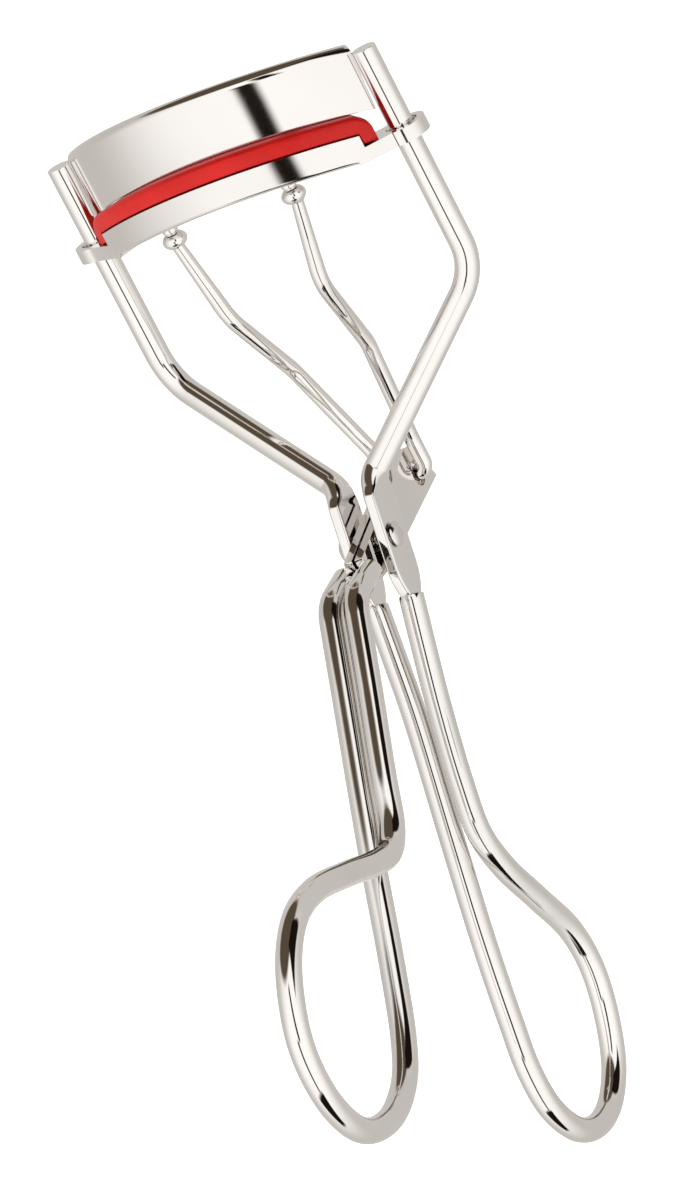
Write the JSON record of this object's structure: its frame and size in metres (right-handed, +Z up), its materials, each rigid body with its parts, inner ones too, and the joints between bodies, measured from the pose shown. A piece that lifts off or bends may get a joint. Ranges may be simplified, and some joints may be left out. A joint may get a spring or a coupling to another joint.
{
  "type": "eyelash curler",
  "caption": "Scissor-handled eyelash curler: curved metal jaws, a red soft pad and wire finger loops; squeezing the lever lifts the lower jaw along two posts.",
  "frame": {"origin": "middle of the underside of the whole tool's box, with the posts upright", "axes": "+Z up along the posts; X along the rivet; -Y the side that the jaws bulge to"},
  "size_m": [0.04, 0.0754, 0.1074],
  "materials": {
    "polished_nickel": "polished",
    "red_silicone": "satin"
  },
  "bodies": {
    "frame": {"upper_jaw_plate": "polished_nickel", "arm_left": "polished_nickel", "arm_right": "polished_nickel", "fixed_handle": "polished_nickel", "pivot_rivet": "polished_nickel"},
    "lever": {"lever_ear_left": "polished_nickel", "lever_ear_right": "polished_nickel", "lever_handle": "polished_nickel"},
    "lower_jaw": {"lower_jaw": "polished_nickel", "lash_pad": "red_silicone"},
    "rod_left": {"push_rod_left": "polished_nickel"},
    "rod_right": {"push_rod_right": "polished_nickel"}
  },
  "joints": [
    {"name": "lever_pivot", "type": "hinge", "parent": "frame", "child": "lever", "pos_m": [0, 0.0208, 0.06099], "axis": [1, 0, 0], "range_deg": [-32, 0]},
    {"name": "jaw_slide", "type": "slide", "parent": "frame", "child": "lower_jaw", "axis": [0, 0, 1], "range_m": [-0.0075, 0]},
    {"name": "rod_hinge_left", "type": "hinge", "parent": "lower_jaw", "child": "rod_left", "pos_m": [-0.0068, 0.02661, 0.09594], "axis": [1, 0, 0], "range_deg": [-3, 0]},
    {"name": "rod_hinge_right", "type": "hinge", "parent": "lower_jaw", "child": "rod_right", "pos_m": [0.0068, 0.02661, 0.09594], "axis": [1, 0, 0], "range_deg": [-3, 0]}
  ],
  "couplings": [
    {"joint": "jaw_slide", "follows": "lever_pivot", "m_per_rad": 0.012635},
    {"joint": "rod_hinge_left", "follows": "lever_pivot", "ratio": 0.063384},
    {"joint": "rod_hinge_right", "follows": "lever_pivot", "ratio": 0.063384}
  ]
}
